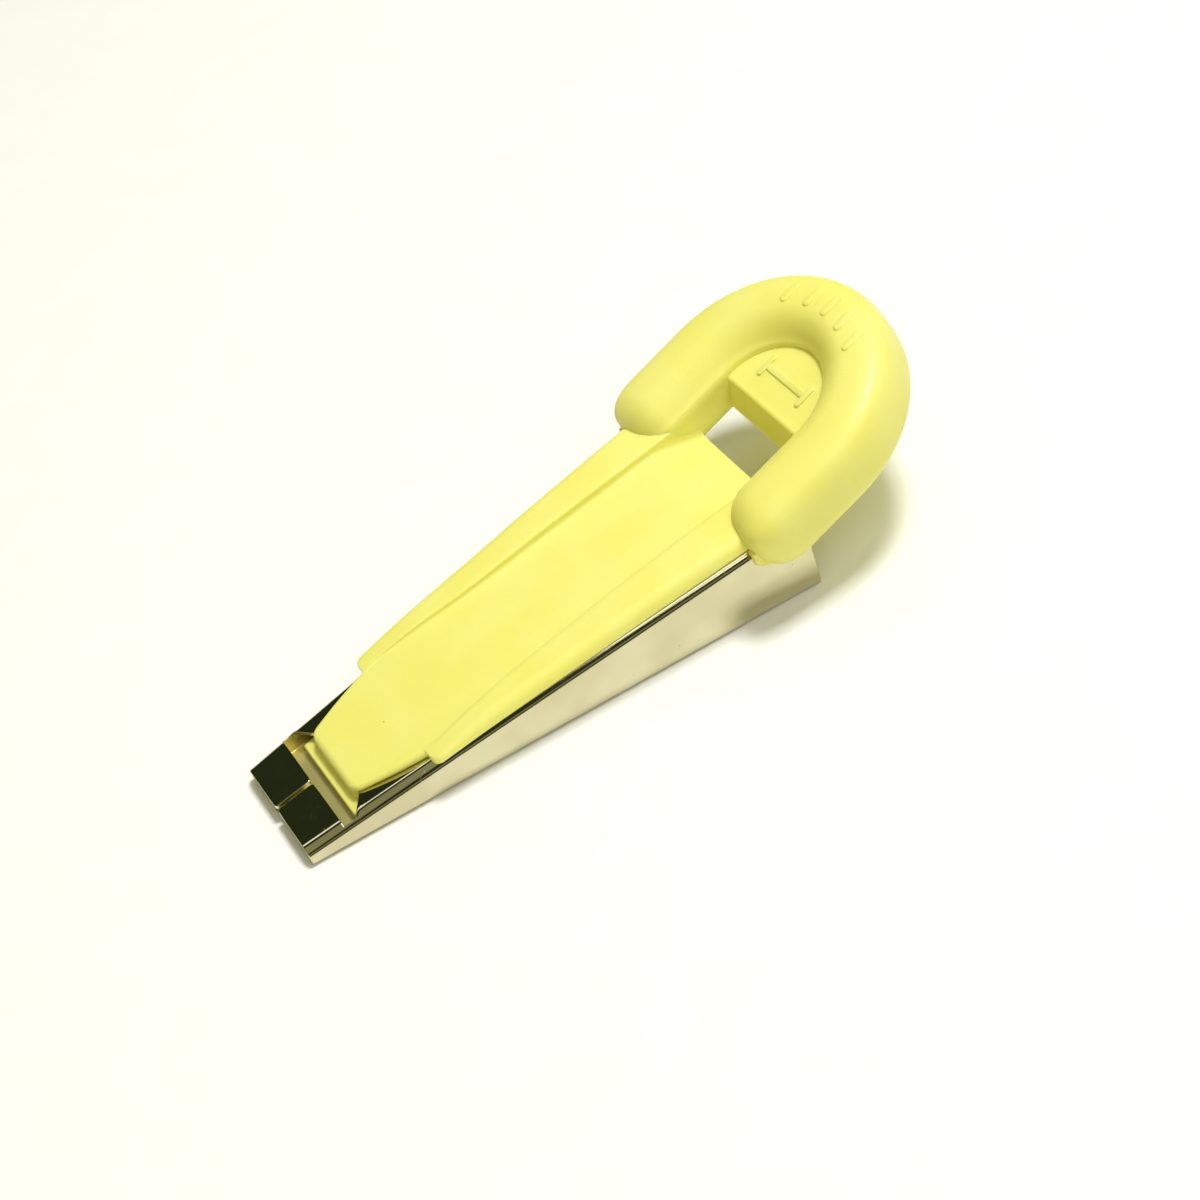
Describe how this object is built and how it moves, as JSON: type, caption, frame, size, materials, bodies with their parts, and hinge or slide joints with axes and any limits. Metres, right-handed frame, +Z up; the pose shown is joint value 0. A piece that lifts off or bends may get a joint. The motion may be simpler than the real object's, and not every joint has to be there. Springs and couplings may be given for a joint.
{
  "type": "bias tape maker",
  "caption": "Folded plated steel channel with a moulded plastic guide and pull ring, for folding fabric strip into bias tape.",
  "frame": {"origin": "centre of the object's outline on the flat it stands on", "axes": "+X from the narrow tape exit to the pull ring, +Y to the left seen from the exit looking towards the ring, +Z up out of the base"},
  "size_m": [0.0666, 0.026, 0.0178],
  "materials": {
    "plated_steel": "bright nickel-plated sheet steel, mirror smooth with fine handling scratches",
    "guide_plastic": "lemon yellow moulded plastic with a fine satin texture"
  },
  "bodies": {
    "folder": {"folder_shell": "plated_steel"},
    "guide": {"guide_plate": "guide_plastic", "left_rail": "guide_plastic", "right_rail": "guide_plastic", "fold_core": "guide_plastic", "pull_ring": "guide_plastic", "width_mark": "guide_plastic"}
  },
  "joints": [
    {"name": "guide_withdraw", "type": "slide", "parent": "folder", "child": "guide", "axis": [0.9919, 0, 0.1269], "range_m": [0, 0.05]}
  ]
}
